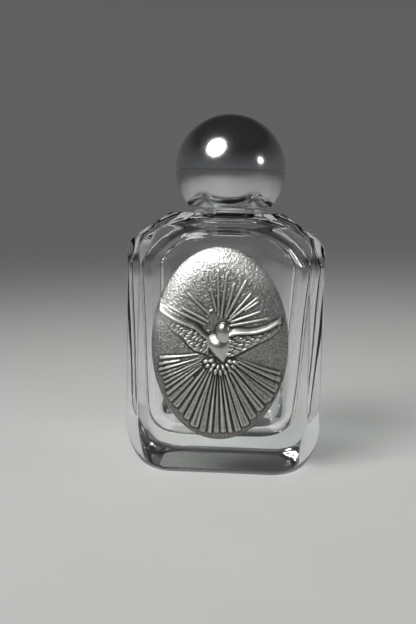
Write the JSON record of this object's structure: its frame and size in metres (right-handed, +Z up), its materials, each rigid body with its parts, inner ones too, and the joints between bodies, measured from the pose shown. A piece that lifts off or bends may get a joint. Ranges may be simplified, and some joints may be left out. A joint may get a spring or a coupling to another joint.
{
  "type": "holy water bottle",
  "caption": "Small heavy clear-glass flask with an octagonal front, a chromed ball screw cap and an oval pewter dove medal, for holding and sprinkling holy water.",
  "frame": {"origin": "centre of the flat foot, on the axis of the neck", "axes": "+Z up along the neck's axis, -Y towards the front with the medal, +X to the viewer's right"},
  "size_m": [0.0344, 0.0274, 0.0637],
  "materials": {
    "clear_glass": "clear soda glass, fire polished",
    "natural_plastic": "natural soft polyethylene, milky",
    "liner_foam": "closed-cell foam sheet",
    "white_plastic": "white moulded polypropylene",
    "ball_chrome": "bright chrome plate over moulded plastic, faint dust and fine scratches",
    "glue": "clear yellowish adhesive film",
    "pewter": "cast pewter, sand-grained field, dark in the recesses and bright on the high edges"
  },
  "bodies": {
    "bottle": {"bottle_body": "clear_glass", "orifice_reducer": "natural_plastic", "medal_adhesive": "glue", "medal": "pewter"},
    "liner": {"cap_liner": "liner_foam"},
    "cap": {"cap_insert": "white_plastic", "cap_skirt": "ball_chrome", "cap_dome": "ball_chrome"}
  },
  "joints": [
    {"name": "cap_lift", "type": "slide", "parent": "bottle", "child": "liner", "axis": [0, 0, 1], "range_m": [0, 0.0095]},
    {"name": "cap_turn", "type": "hinge", "parent": "liner", "child": "cap", "pos_m": [0, 0, 0.0537], "axis": [0, 0, 1], "range_deg": [0, 1620]}
  ],
  "couplings": [
    {"joint": "cap_lift", "follows": "cap_turn", "m_per_rad": 0.00033423}
  ]
}
